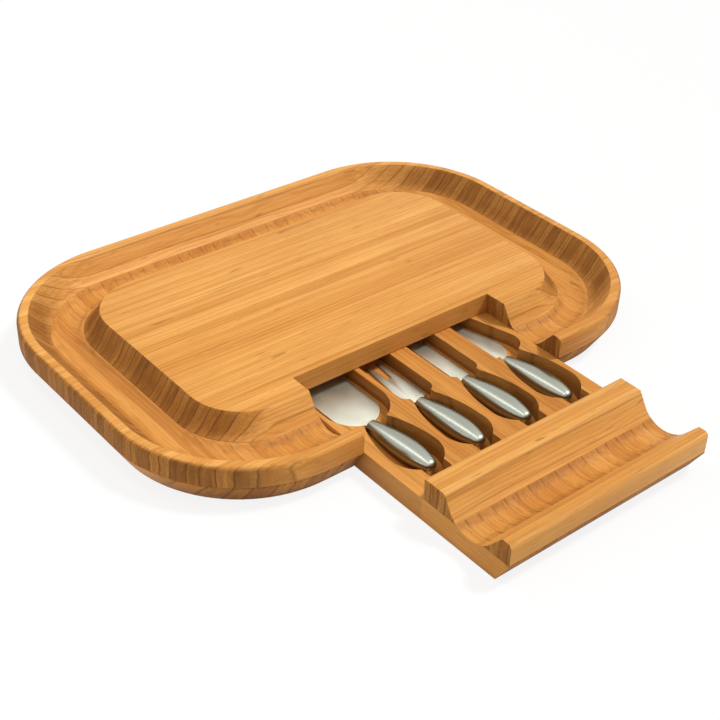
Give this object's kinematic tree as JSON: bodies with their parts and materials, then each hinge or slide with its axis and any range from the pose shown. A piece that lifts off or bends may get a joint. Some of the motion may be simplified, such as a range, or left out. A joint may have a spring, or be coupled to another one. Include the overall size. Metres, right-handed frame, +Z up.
{
  "type": "cheese board set",
  "caption": "Bamboo cheese board with a moat round a raised island and a slide-out drawer in its long side that holds steel cheese tools in fitted pockets.",
  "frame": {"origin": "middle of the board's outline, at the level of its underside (the table)", "axes": "+X along the board's long side, +Z up, the drawer is pulled towards -Y"},
  "size_m": [0.425, 0.431, 0.033],
  "materials": {
    "lower_bamboo": "oiled bamboo, grain across the board",
    "upper_bamboo": "oiled bamboo, grain along the board",
    "runner_bamboo": "plain sanded strip",
    "blade_steel": "satin",
    "handle_steel": "satin polished"
  },
  "bodies": {
    "board": {"base_ply": "lower_bamboo", "rim_ply": "upper_bamboo", "island_ply": "upper_bamboo"},
    "drawer": {"drawer_bed": "lower_bamboo", "drawer_lip": "upper_bamboo", "drawer_ridge": "upper_bamboo", "drawer_runner_left": "runner_bamboo", "drawer_runner_right": "runner_bamboo"},
    "spade": {"spade_blade": "blade_steel", "spade_handle": "handle_steel"},
    "fork": {"fork_blade": "blade_steel", "fork_handle": "handle_steel"},
    "chisel": {"chisel_blade": "blade_steel", "chisel_handle": "handle_steel"},
    "knife": {"knife_blade": "blade_steel", "knife_handle": "handle_steel"}
  },
  "joints": [
    {"name": "drawer_slide", "type": "slide", "parent": "board", "child": "drawer", "axis": [0, -1, 0], "range_m": [-0.131, 0.005]},
    {"name": "spade_tip_up", "type": "hinge", "parent": "drawer", "child": "spade", "pos_m": [-0.0577, -0.0471, 0.0065], "axis": [-1, 0, 0], "range_deg": [0, 15]},
    {"name": "fork_tip_up", "type": "hinge", "parent": "drawer", "child": "fork", "pos_m": [-0.01441, -0.0681, 0.0065], "axis": [-1, 0, 0], "range_deg": [0, 15]},
    {"name": "chisel_tip_up", "type": "hinge", "parent": "drawer", "child": "chisel", "pos_m": [0.0282, -0.0471, 0.0065], "axis": [-1, 0, 0], "range_deg": [0, 15]},
    {"name": "knife_tip_up", "type": "hinge", "parent": "drawer", "child": "knife", "pos_m": [0.0679, -0.0471, 0.0065], "axis": [-1, 0, 0], "range_deg": [0, 15]}
  ]
}
